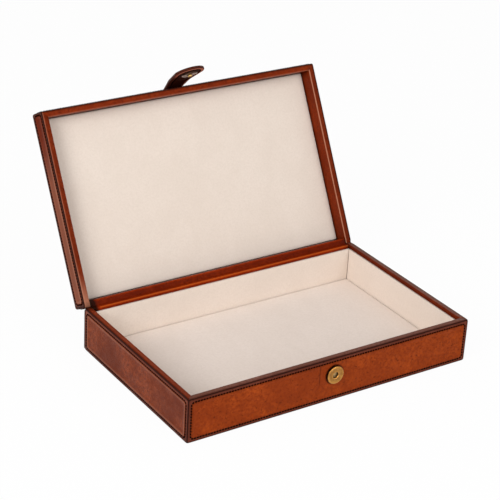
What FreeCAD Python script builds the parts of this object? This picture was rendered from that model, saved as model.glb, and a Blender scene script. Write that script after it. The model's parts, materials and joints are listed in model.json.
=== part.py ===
import FreeCAD, Part
import math
import os

# Leather jewellery case, standing open: a stiff board tray and lid in leather panels, lined with
# suede, a leather strip hinge along the back and a tab that closes on a magnetic snap.
# Millimetres. +X to the right, +Y to the back, +Z up. The origin is the middle of the underside.

# Case
case_width = 296.0
case_depth = 180.2
base_height = 42.1
lid_height = 20.1
rim_gap = 0.4
lid_open_angle = 118.3

# Boards and outer leather
panel_leather = 1.6
bottom_leather = 1.4
wall_board = 3.8
floor_board = 3.2
lid_board = 2.0
rim_leather = 0.8

# Lining
lining_card = 1.1
lining_suede = 0.6
lining_drop = 2.4
floor_card = 1.5
floor_suede = 0.9
lid_card = 1.0
lid_suede = 0.8
lid_lining_gap = 1.5

# Hinge
hinge_end_gap = 1.4
stop_clearance = 0.05

# Magnetic snap
snap_diameter = 17.0
snap_drop = 36.7
snap_face_gap = 0.2
socket_thickness = 2.6
socket_sheet = 0.6
socket_round = 0.9
socket_plate = 0.5
magnet_thickness = 1.4
magnet_clearance = 0.1
post_diameter = 4.4
post_length = 1.8
post_round = 0.5
post_clearance = 1.0
shank_diameter = 3.2
shank_clearance = 0.1
stud_plate = 1.2
washer_diameter = 13.0
washer_thickness = 0.8
washer_clearance = 0.1

# Closing tab
tab_leather = 1.4
tab_root_width = 17.8
tab_tip_width = 28.0
tab_anchor_length = 30.0
tab_rest_lift = 9.3

# Places worked out from the sizes above
front_y = -case_depth / 2
back_y = case_depth / 2
board_inset = panel_leather
flange_inset = board_inset + wall_board
lining_inset = flange_inset + rim_leather
suede_inset = lining_inset + lining_card
clear_inset = suede_inset + lining_suede
floor_top = bottom_leather + floor_board
lid_rim = base_height + rim_gap
lid_top = lid_rim + lid_height
lid_board_top = lid_top - panel_leather
lid_board_low = lid_board_top - lid_board
fold_inner = rim_gap / 2
fold_outer = fold_inner + rim_leather
hinge_y = back_y - fold_outer
hinge_z = base_height + fold_inner
hinge_half_length = case_width / 2 - lining_inset - hinge_end_gap
# The back panels' edges lie this far above and below the axis, and meet at the open angle.
stop_drop = fold_outer * math.tan(math.radians(lid_open_angle / 2)) + stop_clearance
tab_lining_inner = socket_thickness + snap_face_gap + stud_plate
tab_outer_inner = tab_lining_inner + tab_leather
tab_outer_face = tab_outer_inner + tab_leather
tab_y = front_y
tab_z = lid_top - tab_lining_inner
snap_z = lid_top - snap_drop
SIDES = ("front", "back", "left", "right")
BOUND_SIDES = ("front", "left", "right")
FORWARD = FreeCAD.Vector(0, -1, 0)
ACROSS = FreeCAD.Vector(1, 0, 0)
SAME_PLACE = 1e-6


def point(x, y, z):
    return FreeCAD.Vector(x, y, z)


def prism(outline, low, high):
    """Upright solid on an XY outline, between two heights."""
    corners = [point(x, y, low) for x, y in outline]
    face = Part.Face(Part.makePolygon(corners + corners[:1]))
    return face.extrude(point(0, 0, high - low))


def slab(inset, low, high):
    """Flat layer, set in from the case's four outer faces."""
    x = case_width / 2 - inset
    y = case_depth / 2 - inset
    return prism([(-x, -y), (x, -y), (x, y), (-x, y)], low, high)


def wall(side, outer, inner, low, high):
    """Wall with mitred ends on one side of the case, between two insets from the outer faces."""
    xo = case_width / 2 - outer
    yo = case_depth / 2 - outer
    xi = case_width / 2 - inner
    yi = case_depth / 2 - inner
    outlines = {
        "front": [(-xo, -yo), (xo, -yo), (xi, -yi), (-xi, -yi)],
        "back": [(xo, yo), (-xo, yo), (-xi, yi), (xi, yi)],
        "left": [(-xo, yo), (-xo, -yo), (-xi, -yi), (-xi, yi)],
        "right": [(xo, -yo), (xo, yo), (xi, yi), (xi, -yi)],
    }
    return prism(outlines[side], low, high)


def rim_cap(side, low, high):
    """Flat part of a binding on a wall's edge: mitred at the front, and run through to the hinge."""
    xo = case_width / 2 - board_inset
    yo = case_depth / 2 - board_inset
    xi = case_width / 2 - lining_inset
    yi = case_depth / 2 - lining_inset
    outlines = {
        "front": [(-xo, -yo), (xo, -yo), (xi, -yi), (-xi, -yi)],
        "left": [(-xo, hinge_y), (-xo, -yo), (-xi, -yi), (-xi, hinge_y)],
        "right": [(xo, -yo), (xo, hinge_y), (xi, hinge_y), (xi, -yi)],
    }
    return prism(outlines[side], low, high)


def strip(half_length, y_low, y_high, low, high):
    """Straight strip along X, centred on the case."""
    x = half_length
    return prism([(-x, y_low), (x, y_low), (x, y_high), (-x, y_high)], low, high)


def joined(first, second):
    return first.fuse(second).removeSplitter()


def swept(half_width, y, low, high, axis_z, angle):
    """Strip's end face, turned about an axis along X through its own plane."""
    corners = [point(-half_width, y, low), point(half_width, y, low)]
    corners += [point(half_width, y, high), point(-half_width, y, high)]
    face = Part.Face(Part.makePolygon(corners + corners[:1]))
    return face.revolve(point(0, y, axis_z), ACROSS, angle)


def snap_disc(radius, start, end):
    """Disc on the snap's axis, between two distances out from the base's front face."""
    return Part.makeCylinder(radius, end - start, point(0, front_y - start, snap_z), FORWARD)


def rounded_rim(solid, y, radius):
    """Rounds the circular edge that lies in the plane at y."""
    rims = []
    for edge in solid.Edges:
        box = edge.BoundBox
        if abs(box.YMin - y) + abs(box.YMax - y) < SAME_PLACE:
            rims.append(edge)
    return solid.makeFillet(radius, rims)


def with_hinge_room(solid):
    """Cuts away what lies behind the hinge axis, where the two halves would meet as the lid opens."""
    room = strip(case_width, hinge_y, case_depth, hinge_z - stop_drop, hinge_z + stop_drop)
    return solid.cut(room)


def opened(solid):
    """Turns a piece of the closed lid to where the lid rests on its stop."""
    turned = solid.copy()
    turned.rotate(point(0, hinge_y, hinge_z), ACROSS, -lid_open_angle)
    return turned


def lifted(solid):
    """Turns a piece of the closed tab to where the leather holds it at rest."""
    turned = solid.copy()
    turned.rotate(point(0, tab_y, tab_z), ACROSS, -tab_rest_lift)
    return turned


def tab_blade(inner, outer):
    """Hanging part of one tab layer, between two distances from the tab's axis."""
    y = tab_y - inner
    root = tab_root_width / 2
    tip = tab_tip_width / 2
    left_root = point(-root, y, tab_z)
    right_root = point(root, y, tab_z)
    left_tip = point(-tip, y, snap_z)
    right_tip = point(tip, y, snap_z)
    edges = [
        Part.LineSegment(right_root, left_root).toShape(),
        Part.LineSegment(left_root, left_tip).toShape(),
        Part.Arc(left_tip, point(0, y, snap_z - tip), right_tip).toShape(),
        Part.LineSegment(right_tip, right_root).toShape(),
    ]
    return Part.Face(Part.Wire(edges)).extrude(FORWARD * (outer - inner))


def tab_anchor(inner, outer):
    """Sewn-on end of one tab layer, flat on the lid's top, with a round end."""
    z = tab_z + inner
    half = tab_root_width / 2
    round_y = tab_y + tab_anchor_length - half
    left_front = point(-half, tab_y, z)
    right_front = point(half, tab_y, z)
    left_back = point(-half, round_y, z)
    right_back = point(half, round_y, z)
    edges = [
        Part.LineSegment(left_front, right_front).toShape(),
        Part.LineSegment(right_front, right_back).toShape(),
        Part.Arc(right_back, point(0, round_y + half, z), left_back).toShape(),
        Part.LineSegment(left_back, left_front).toShape(),
    ]
    return Part.Face(Part.Wire(edges)).extrude(point(0, 0, outer - inner))


def tab_fold(inner, outer):
    """Bend of one tab layer over the lid's front edge, at its resting angle."""
    half = tab_root_width / 2
    return swept(half, tab_y, tab_z + inner, tab_z + outer, tab_z, 90 - tab_rest_lift)


def base_shell():
    """Boards and outer leather of the base, with the snap's holes through its front."""
    washer_front = washer_thickness - flange_inset
    rivet_hole = snap_disc(shank_diameter / 2 + shank_clearance, -flange_inset, 0)
    washer_seat = snap_disc(washer_diameter / 2 + washer_clearance, -flange_inset, washer_front)
    pieces = {
        "base_bottom_leather": slab(board_inset, 0, bottom_leather),
        "base_floor_board": slab(board_inset, bottom_leather, floor_top),
    }
    for side in SIDES:
        leather_top = hinge_z - stop_drop if side == "back" else base_height
        leather = with_hinge_room(wall(side, 0, panel_leather, 0, leather_top))
        board = wall(side, board_inset, flange_inset, floor_top, base_height - rim_leather)
        if side == "front":
            leather = leather.cut(rivet_hole)
            board = board.cut(rivet_hole).cut(washer_seat)
        pieces["base_" + side + "_leather"] = leather
        pieces["base_" + side + "_board"] = board
    return pieces


def base_rims():
    """Bindings that turn over the base's walls and run down inside them."""
    pieces = {}
    for side in BOUND_SIDES:
        cap = rim_cap(side, base_height - rim_leather, base_height)
        flange = wall(side, flange_inset, lining_inset, floor_top, base_height - rim_leather)
        pieces["base_" + side + "_rim"] = with_hinge_room(joined(cap, flange))
    return pieces


def base_lining():
    """Suede-covered cards on the base's floor and walls."""
    top = base_height - lining_drop
    floor_suede_low = floor_top + floor_card
    pieces = {
        "lining_floor_card": slab(clear_inset, floor_top, floor_suede_low),
        "lining_floor_suede": slab(clear_inset, floor_suede_low, floor_suede_low + floor_suede),
    }
    for side in SIDES:
        card_top = top - lining_suede
        skin = wall(side, suede_inset, clear_inset, floor_top, card_top)
        turned_over = wall(side, lining_inset, clear_inset, card_top, top)
        pieces["lining_" + side + "_card"] = wall(side, lining_inset, suede_inset, floor_top, card_top)
        pieces["lining_" + side + "_suede"] = joined(skin, turned_over)
    return pieces


def hinge():
    """Leather strip hinge: a leaf on each back rim, and the fold between them on the axis."""
    x = hinge_half_length
    inside = back_y - lining_inset
    board_face = back_y - flange_inset
    base_cap = strip(x, inside, hinge_y, base_height - rim_leather, base_height)
    base_flange = strip(x, inside, board_face, floor_top, base_height - rim_leather)
    lid_cap = strip(x, inside, hinge_y, lid_rim, lid_rim + rim_leather)
    lid_flange = strip(x, inside, board_face, lid_rim + rim_leather, lid_board_low)
    fold = swept(x, hinge_y, hinge_z - fold_outer, hinge_z - fold_inner, hinge_z, 180 - lid_open_angle)
    return {
        "hinge_base_leaf": joined(base_cap, base_flange),
        "hinge_lid_leaf": opened(joined(lid_cap, lid_flange)),
        "hinge_fold": fold,
    }


def snap_socket():
    """Magnetic half of the snap, riveted through the base's front wall."""
    radius = snap_diameter / 2
    hollow = radius - socket_sheet
    hole = post_diameter / 2 + post_clearance
    shank = shank_diameter / 2
    washer_front = washer_thickness - flange_inset
    cap = snap_disc(radius, 0, socket_thickness)
    cap = rounded_rim(cap, front_y - socket_thickness, socket_round)
    cap = cap.cut(snap_disc(hollow, 0, socket_thickness - socket_sheet))
    cap = cap.cut(snap_disc(hole, 0, socket_thickness))
    magnet_face = socket_plate + magnet_thickness
    magnet = snap_disc(hollow - magnet_clearance, socket_plate, magnet_face)
    magnet = magnet.cut(snap_disc(hole + magnet_clearance, socket_plate, magnet_face))
    stem = snap_disc(shank, -flange_inset, 0)
    rivet = joined(snap_disc(hollow - magnet_clearance, 0, socket_plate), stem)
    washer = snap_disc(washer_diameter / 2, -flange_inset, washer_front).cut(stem)
    return {
        "snap_socket_cap": cap,
        "snap_socket_magnet": magnet,
        "snap_socket_rivet": rivet,
        "snap_socket_washer": washer,
    }


def lid_shell():
    """Boards, outer leather and bindings of the lid."""
    pieces = {
        "lid_top_leather": opened(slab(0, lid_board_top, lid_top)),
        "lid_top_board": opened(slab(board_inset, lid_board_low, lid_board_top)),
    }
    for side in SIDES:
        leather_low = hinge_z + stop_drop if side == "back" else lid_rim
        leather = with_hinge_room(wall(side, 0, panel_leather, leather_low, lid_board_top))
        board = wall(side, board_inset, flange_inset, lid_rim + rim_leather, lid_board_low)
        pieces["lid_" + side + "_leather"] = opened(leather)
        pieces["lid_" + side + "_board"] = opened(board)
    for side in BOUND_SIDES:
        cap = rim_cap(side, lid_rim, lid_rim + rim_leather)
        flange = wall(side, flange_inset, lining_inset, lid_rim + rim_leather, lid_board_low)
        pieces["lid_" + side + "_rim"] = opened(with_hinge_room(joined(cap, flange)))
    return pieces


def lid_lining():
    """Suede-covered card under the lid's top."""
    inset = lining_inset + lid_lining_gap
    card_low = lid_board_low - lid_card
    return {
        "lid_lining_card": opened(slab(inset, card_low, lid_board_low)),
        "lid_lining_suede": opened(slab(inset, card_low - lid_suede, card_low)),
    }


def closing_tab():
    """Two-layer leather tab, sewn on the lid's top, folded over its front and carrying the stud."""
    shank = shank_diameter / 2
    shank_hole = snap_disc(shank + shank_clearance, 0, tab_outer_inner)
    washer_top = tab_outer_inner + washer_thickness
    washer_seat = snap_disc(washer_diameter / 2 + washer_clearance, tab_outer_inner, washer_top)
    plate_low = socket_thickness + snap_face_gap
    post_low = plate_low - post_length
    stem = snap_disc(shank, plate_low, washer_top)
    plate = snap_disc(snap_diameter / 2, plate_low, tab_lining_inner).cut(stem)
    post = snap_disc(post_diameter / 2, post_low, plate_low)
    post = joined(rounded_rim(post, front_y - post_low, post_round), stem)
    washer = snap_disc(washer_diameter / 2, tab_outer_inner, washer_top).cut(stem)
    blades = {
        "tab_lining": tab_blade(tab_lining_inner, tab_outer_inner).cut(shank_hole),
        "tab_outer_leather": tab_blade(tab_outer_inner, tab_outer_face).cut(washer_seat),
        "snap_stud_plate": plate,
        "snap_stud_post": post,
        "snap_stud_washer": washer,
    }
    pieces = {name: opened(lifted(solid)) for name, solid in blades.items()}
    pieces["tab_lining_anchor"] = opened(tab_anchor(tab_lining_inner, tab_outer_inner))
    pieces["tab_lining_fold"] = opened(tab_fold(tab_lining_inner, tab_outer_inner))
    pieces["tab_outer_anchor"] = opened(tab_anchor(tab_outer_inner, tab_outer_face))
    pieces["tab_outer_fold"] = opened(tab_fold(tab_outer_inner, tab_outer_face))
    return pieces


os.makedirs("parts", exist_ok=True)
for make in (base_shell, base_rims, base_lining, hinge, snap_socket, lid_shell, lid_lining, closing_tab):
    for name, solid in make().items():
        solid.exportStep("parts/" + name + ".step")
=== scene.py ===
import json
import random
from collections import namedtuple
from math import cos, dist, exp, hypot, inf, pi, radians, sin, sqrt

import bmesh
import bpy
from mathutils import Matrix, Vector, noise


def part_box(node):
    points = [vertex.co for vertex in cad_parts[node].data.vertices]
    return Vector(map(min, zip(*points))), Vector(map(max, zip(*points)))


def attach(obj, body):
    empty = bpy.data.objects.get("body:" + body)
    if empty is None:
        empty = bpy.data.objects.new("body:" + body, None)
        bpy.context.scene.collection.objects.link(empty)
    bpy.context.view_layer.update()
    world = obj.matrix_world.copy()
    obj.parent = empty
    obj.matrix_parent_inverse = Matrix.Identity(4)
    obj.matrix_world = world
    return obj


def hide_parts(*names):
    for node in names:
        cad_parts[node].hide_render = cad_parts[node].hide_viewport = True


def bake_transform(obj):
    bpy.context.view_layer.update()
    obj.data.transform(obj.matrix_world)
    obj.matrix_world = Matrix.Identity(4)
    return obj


# Looks of the leather jewellery case, in metres, in the frame's own axes: +X right, +Y back, +Z up.
# The lid's and the tab's pieces are laid out as on the shut case, then turned to where they rest.

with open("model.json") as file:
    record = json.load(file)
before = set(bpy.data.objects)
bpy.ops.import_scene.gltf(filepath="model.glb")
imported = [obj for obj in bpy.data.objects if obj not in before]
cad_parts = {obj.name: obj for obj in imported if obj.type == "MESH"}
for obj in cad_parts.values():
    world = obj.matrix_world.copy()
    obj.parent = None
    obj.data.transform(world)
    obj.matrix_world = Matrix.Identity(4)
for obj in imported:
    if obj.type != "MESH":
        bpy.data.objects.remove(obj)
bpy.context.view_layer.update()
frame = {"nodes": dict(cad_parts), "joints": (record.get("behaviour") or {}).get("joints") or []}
nodes = frame["nodes"]
joints = {joint["name"]: joint for joint in frame["joints"]}
MM = 0.001
X, Y, Z = Vector((1, 0, 0)), Vector((0, 1, 0)), Vector((0, 0, 1))


def turn_about(place, axis, degrees):
    """Matrix that turns about an axis through a place."""
    shift = Matrix.Translation(place)
    return shift @ Matrix.Rotation(radians(degrees), 4, Vector(axis)) @ shift.inverted()


HINGE = Vector(joints["lid_hinge"]["pos_m"])
LID_ANGLE = joints["lid_hinge"]["range_deg"][1]
LID_REST = turn_about(HINGE, joints["lid_hinge"]["axis"], -LID_ANGLE)
TAB_AXIS = LID_REST.inverted() @ Vector(joints["tab_fold"]["pos_m"])
TAB_LIFT = joints["tab_fold"]["range_deg"][1]
TAB_REST = LID_REST @ turn_about(TAB_AXIS, joints["tab_fold"]["axis"], -TAB_LIFT)
BASE_REST = Matrix.Identity(4)


def shut_box(node):
    """Box of one of the lid's CAD nodes on the shut case."""
    back = LID_REST.inverted()
    corners = [back @ vertex.co for vertex in nodes[node].data.vertices]
    low = Vector([min(c[i] for c in corners) for i in range(3)])
    high = Vector([max(c[i] for c in corners) for i in range(3)])
    return low, high


# Outer leathers of the base and the shut lid, the front's lining and the snap's socket
FRONT_LOW, FRONT_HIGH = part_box("base_front_leather")
BACK_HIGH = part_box("base_back_leather")[1]
LID_TOP_LOW, LID_TOP_HIGH = shut_box("lid_top_leather")
LID_FRONT_LOW, LID_FRONT_HIGH = shut_box("lid_front_leather")
LID_BACK_LOW = shut_box("lid_back_leather")[0]
LINING_LOW, LINING_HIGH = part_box("lining_front_suede")
SNAP_LOW, SNAP_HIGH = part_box("snap_socket_cap")
LEATHER = LID_TOP_HIGH.z - LID_TOP_LOW.z
HALF_WIDTH = FRONT_HIGH.x
BASE_RIM = FRONT_HIGH.z
LID_RIM = LID_FRONT_LOW.z
LINING_INSET = LINING_LOW.y - FRONT_LOW.y
SNAP_Z = (SNAP_LOW.z + SNAP_HIGH.z) / 2
SNAP_RADIUS = (SNAP_HIGH.z - SNAP_LOW.z) / 2


def smooth(share):
    """0 to 1 with level ends."""
    share = max(0.0, min(1.0, share))
    return share * share * (3 - 2 * share)


def between(ends, share):
    """Number at a share of the way from one to another."""
    return ends[0] + (ends[1] - ends[0]) * share


# A Mix node's sockets for colours, whose names its other sockets share
FIRST, SECOND, MIXED = 6, 7, 2


class Tree:
    """Node tree of a material or world."""

    def __init__(self, owner):
        owner.use_nodes = True
        self.nodes = owner.node_tree.nodes
        self.links = owner.node_tree.links

    def put(self, socket, value):
        """Links an output to an input, or sets it. A colour gets its alpha."""
        if isinstance(value, bpy.types.NodeSocket):
            self.links.new(value, socket)
        elif isinstance(value, tuple) and len(value) < len(socket.default_value):
            socket.default_value = (*value, 1.0)
        else:
            socket.default_value = value

    def add(self, kind, output, inputs, **settings):
        """Adds a node, fills its inputs and gives one of its outputs."""
        made = self.nodes.new(kind)
        for name, value in settings.items():
            setattr(made, name, value)
        for name, value in inputs.items():
            self.put(made.inputs[name], value)
        return made.outputs[output]

    def span(self, value, low, high, to_low=0.0, to_high=1.0):
        """Maps a range of values to another, clamped and smooth."""
        inputs = {"Value": value, "From Min": low, "From Max": high, "To Min": to_low, "To Max": to_high}
        return self.add("ShaderNodeMapRange", "Result", inputs, interpolation_type="SMOOTHSTEP")

    def seen_directly(self):
        """1 for what is seen, also in gloss and glass, and 0 for the light on the object."""
        path = self.nodes.new("ShaderNodeLightPath")
        seen = path.outputs["Is Camera Ray"]
        for name in ("Is Glossy Ray", "Is Transmission Ray"):
            either = {0: seen, 1: path.outputs[name]}
            seen = self.add("ShaderNodeMath", "Value", either, operation="MAXIMUM")
        return seen


class Shader(Tree):
    """A Principled material, with textures that lie still on the object."""

    def __init__(self, name):
        self.material = bpy.data.materials.new(name)
        super().__init__(self.material)
        self.principled = self.nodes["Principled BSDF"]
        self.place = self.add("ShaderNodeTexCoord", "Object", {})

    def set(self, **inputs):
        """Fills the shader's own inputs, with _ for spaces in their names."""
        for name, value in inputs.items():
            self.put(self.principled.inputs[name.replace("_", " ")], value)

    def noise(self, scale, detail=3.0, roughness=0.55, distortion=0.0, stretch=(1, 1, 1)):
        """Noise from 0 to 1, with its scale in cells to the metre."""
        place = self.add("ShaderNodeMapping", "Vector", {"Vector": self.place, "Scale": stretch})
        inputs = {"Vector": place, "Scale": scale, "Detail": detail}
        inputs.update({"Roughness": roughness, "Distortion": distortion})
        return self.add("ShaderNodeTexNoise", "Fac", inputs)

    def pores(self, scale):
        """Distance from the edges of small cells."""
        inputs = {"Vector": self.place, "Scale": scale}
        return self.add("ShaderNodeTexVoronoi", "Distance", inputs, feature="DISTANCE_TO_EDGE")

    def mix(self, share, first, second):
        inputs = {"Factor": share, FIRST: first, SECOND: second}
        return self.add("ShaderNodeMix", MIXED, inputs, data_type="RGBA")

    def burnish(self):
        """Burnish, and painted light and shade, that a piece's points carry."""
        return self.add("ShaderNodeAttribute", "Fac", {}, attribute_name="burnish")

    def bump(self, height, depth, strength, under=None):
        """Bump of a given depth in metres, laid over another one."""
        inputs = {"Strength": strength, "Distance": depth, "Height": height}
        if under is not None:
            inputs["Normal"] = under
        return self.add("ShaderNodeBump", "Normal", inputs)


# Dark colour of burnished edges and of painted shade
BURNISH_AND_SHADE = (0.020, 0.0035, 0.0014)
# Pale colour of painted highlights and sheen
PAINTED_HIGHLIGHT = (0.44, 0.19, 0.115)
# Painted shade along the suede's seams
PAINTED_SEAM_SHADE = (0.27, 0.20, 0.15)
PATINA = (0.035, 0.012, 0.004)
# The steel's patina, and the painted shadow on the stud's plate
STEEL_PATINA_AND_SHADOW = (0.06, 0.03, 0.02)


def leather(name, light, deep, rough=0.4, gloss=0.03, sheen=0.0, highlight=PAINTED_HIGHLIGHT):
    """Aniline-dyed leather: cloudy dye, small marks and fine grain. Burnish above 0 darkens it, for
    burnished edges and painted shade; below 0 it is a painted highlight and sheen.
    """
    shader = Shader(name + "_leather")
    clouds = shader.noise(19, 4, 0.6, distortion=0.6)
    blotches = shader.noise(85, 5, 0.65)
    streaks = shader.noise(70, 4, 0.6, stretch=(0.35, 1.0, 1.0))
    mottle = shader.noise(380, 5, 0.75)
    scuffs = shader.noise(60, 6, 0.75, distortion=1.2)
    flecks = shader.noise(430, 3, 0.65)
    pale = tuple(1.35 * channel for channel in light)
    colour = shader.mix(shader.span(clouds, 0.3, 0.7, 0.15, 0.85), deep, light)
    layers = (
        (blotches, 0.38, 0.68, 0.5, deep),
        (streaks, 0.5, 0.75, 0.6, deep),
        (mottle, 0.38, 0.64, 0.95, deep),
        (scuffs, 0.56, 0.75, 0.35, pale),
        (flecks, 0.57, 0.72, 0.6, BURNISH_AND_SHADE),
    )
    for texture, low, high, most, tone in layers:
        colour = shader.mix(shader.span(texture, low, high, 0.0, most), colour, tone)
    burnish = shader.burnish()
    colour = shader.mix(shader.span(burnish, -1.0, 0.0, 1.0, 0.0), colour, highlight)
    colour = shader.mix(burnish, colour, BURNISH_AND_SHADE)
    grain = shader.bump(shader.span(shader.pores(1350), 0.0, 0.22), 0.08 * MM, 0.5)
    grain = shader.bump(blotches, 0.2 * MM, 0.35, under=grain)
    shader.set(Base_Color=colour, Normal=grain)
    shader.set(Roughness=shader.span(blotches, 0.3, 0.7, rough - 0.06, rough + 0.08))
    shader.set(Specular_IOR_Level=gloss, Sheen_Weight=sheen, Sheen_Roughness=0.35)
    return shader.material


def suede(name, light, shade):
    """Cream suede: a short brushed nap that catches the light in faint patches. Its points' burnish is
    painted shade along its seams.
    """
    shader = Shader(name + "_suede")
    brushed = shader.noise(36, 3, 0.55, distortion=0.5, stretch=(1.0, 0.5, 1.0))
    nap = shader.noise(520, 4, 0.7)
    fluff = shader.noise(2600, 2, 0.6)
    brushed_tone = tuple(between(ends, 0.28) for ends in zip(light, shade))
    colour = shader.mix(shader.span(brushed, 0.3, 0.7), brushed_tone, light)
    colour = shader.mix(shader.span(nap, 0.35, 0.72, 0.0, 0.5), colour, shade)
    colour = shader.mix(shader.burnish(), colour, PAINTED_SEAM_SHADE)
    rough_nap = shader.bump(nap, 0.25 * MM, 0.45)
    shader.set(Base_Color=colour, Normal=shader.bump(fluff, 0.1 * MM, 0.4, under=rough_nap))
    shader.set(Roughness=0.95, Specular_IOR_Level=0.1, Sheen_Weight=0.15, Sheen_Roughness=0.5)
    return shader.material


def metal(name, light, deep, patina, rough, tarnish_and_painted_shadow):
    """Plated metal with fine brushing, tarnish in patches and patina where its points say, which on the
    stud's plate is painted shadow.
    """
    shader = Shader(name)
    patches = shader.noise(260, 4, 0.6)
    brushing = shader.noise(1500, 3, 0.6, stretch=(1.0, 1.0, 0.15))
    colour = shader.mix(shader.span(patches, 0.4, 0.7, 0.0, tarnish_and_painted_shadow), light, deep)
    colour = shader.mix(shader.span(brushing, 0.45, 0.62, 0.0, 0.7 * tarnish_and_painted_shadow), colour, deep)
    colour = shader.mix(shader.burnish(), colour, patina)
    shader.set(Base_Color=colour, Metallic=1.0, Normal=shader.bump(brushing, 0.04 * MM, 0.4))
    shader.set(Roughness=shader.span(patches, 0.3, 0.7, rough, rough + 0.18))
    return shader.material


def matt(name, light, deep, scale, gloss=0.1):
    """Board, card, thread and other plain stock with a fine fibre."""
    shader = Shader(name)
    fibre = shader.noise(scale, 4, 0.65)
    shader.set(Base_Color=shader.mix(shader.span(fibre, 0.3, 0.7), deep, light))
    shader.set(Roughness=0.8, Specular_IOR_Level=gloss, Normal=shader.bump(fibre, 0.1 * MM, 0.4))
    return shader.material


PANEL = leather("panel", (0.42, 0.070, 0.009), (0.22, 0.031, 0.005))
# The sides' leathers are darker copies of the panel's: painted shade.
LID_SIDE_SHADED = leather("lid_side", (0.20, 0.023, 0.0045), (0.11, 0.011, 0.002), gloss=0.02)
SIDE_PANEL_SHADED = leather("side", (0.305, 0.056, 0.012), (0.122, 0.018, 0.004), gloss=0.05, sheen=0.03)
RIM = leather("rim", (0.31, 0.037, 0.0045), (0.15, 0.016, 0.0025), rough=0.34)
# Greyer copy of the rim's leather for faces that look up: a painted reflection of the room.
RIM_TOP_REFLECTION = leather("rim_top_reflection", (0.235, 0.092, 0.065), (0.135, 0.046, 0.029), gloss=0.05)
BORDER = leather("border", (0.25, 0.062, 0.033), (0.145, 0.031, 0.015), gloss=0.05)
# Its highlight colour is the orange of the painted highlights on the hinge's round edges.
HINGE_LEATHER = leather("hinge", (0.34, 0.031, 0.003), (0.18, 0.012, 0.001), rough=0.3, gloss=0.02,
                        highlight=(0.75, 0.15, 0.018))
TAB = leather("tab", (0.30, 0.055, 0.013), (0.15, 0.024, 0.006), rough=0.42)
TAB_LINING = leather("tab_lining", (0.46, 0.13, 0.08), (0.26, 0.065, 0.038), rough=0.42)
BOTTOM = leather("bottom", (0.10, 0.034, 0.014), (0.06, 0.02, 0.009), rough=0.6)
# The floor's and the lid's suedes are lighter and darker copies of the walls': painted light and shade.
SUEDE = suede("cream", (0.82, 0.715, 0.632), (0.72, 0.615, 0.53))
FLOOR_SUEDE_LIT = suede("floor", (0.845, 0.742, 0.672), (0.742, 0.638, 0.563))
LID_SUEDE_SHADED = suede("lid", (0.785, 0.682, 0.60), (0.69, 0.587, 0.503))
THREAD = matt("waxed_thread", (0.010, 0.003, 0.002), (0.003, 0.001, 0.001), 2500, gloss=0.0)
# Nearly black: painted shade where the boards show in gaps.
SHADOW_BOARD = matt("wall_board", (0.035, 0.017, 0.010), (0.018, 0.009, 0.006), 700, gloss=0.03)
CARD = matt("lining_card", (0.42, 0.37, 0.31), (0.32, 0.28, 0.23), 700)
BRASS = metal("antique_brass", (0.60, 0.29, 0.070), (0.32, 0.14, 0.034), PATINA, 0.3, 0.7)
STUD_BRASS = metal("stud_brass", (0.78, 0.52, 0.20), (0.45, 0.27, 0.09), PATINA, 0.25, 0.4)
OLD_BRASS = metal("worn_brass", (0.46, 0.30, 0.13), (0.26, 0.16, 0.07), PATINA, 0.4, 0.6)
STEEL = metal("plated_steel", (0.78, 0.72, 0.68), (0.50, 0.45, 0.41), STEEL_PATINA_AND_SHADOW, 0.38, 0.4)
MAGNET = metal("magnet_black", (0.16, 0.155, 0.15), (0.05, 0.05, 0.05), PATINA, 0.45, 0.6)


def link(name, data):
    """New object in the scene."""
    made = bpy.data.objects.new(name, data)
    bpy.context.scene.collection.objects.link(made)
    return made


def new_piece(name, points, faces, material, burnish=None):
    """Mesh object from points in the row frame, smooth, with its faces turned outwards."""
    mesh = bpy.data.meshes.new(name)
    mesh.from_pydata(points, [], faces)
    if burnish is not None:
        layer = mesh.attributes.new("burnish", "FLOAT", "POINT")
        layer.data.foreach_set("value", burnish)
    mesh.polygons.foreach_set("use_smooth", [True] * len(mesh.polygons))
    work = bmesh.new()
    work.from_mesh(mesh)
    bmesh.ops.remove_doubles(work, verts=work.verts, dist=1e-7)
    bmesh.ops.recalc_face_normals(work, faces=work.faces)
    work.to_mesh(mesh)
    work.free()
    mesh.materials.append(material)
    return link(name, mesh)


def finish(piece, body, slot, *replaced):
    """Rides a piece on its body and hides the CAD nodes that it stands for. Its record slot is not used."""
    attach(piece, body)
    if replaced:
        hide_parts(*replaced)


def bands(rings, size, start=0):
    """Quads between closed rings of points, in the order listed."""
    faces = []
    for a, b in zip(rings, rings[1:]):
        here, there = start + a * size, start + b * size
        for k in range(size):
            after = (k + 1) % size
            faces.append((here + k, here + after, there + after, there + k))
    return faces


def tube(count, size, start=0):
    """Quads over a row of rings, and a cap on each end."""
    caps = [tuple(range(first, first + size)) for first in (start, start + (count - 1) * size)]
    return bands(range(count), size, start) + caps


# Leather panels: an edge is its round's width and its fall
LEATHER_EDGE = (1.0 * MM, 0.5 * MM)
BOTTOM_EDGE = (0.6 * MM, 0.3 * MM)
CORNER_ROUND = 1.8 * MM
BURNISHED_EDGE = 0.8 * MM
BASE_ROW = 3.3 * MM
LID_ROW = 2.4 * MM
ROW_CORNER = 3.2 * MM
GROOVE_HALF = 0.8 * MM
GROOVE_DEPTH = 0.28 * MM
PUFF_HEIGHT = 0.3 * MM
PUFF_WIDTH = 3.2 * MM
ROW_FADE = 2.8 * MM
PANEL_STEP = 0.2 * MM
SHEEN_REACH = 75 * MM
BACK_BURNISH = 0.7
# Waves, in cells to the metre, which fade out towards the edges
PANEL_WAVE = 0.16 * MM
WAVE_REACH = 8 * MM
WAVE_CELLS = 26
RIPPLE_CELLS = 75
RIPPLE_SHARE = 0.45
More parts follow.
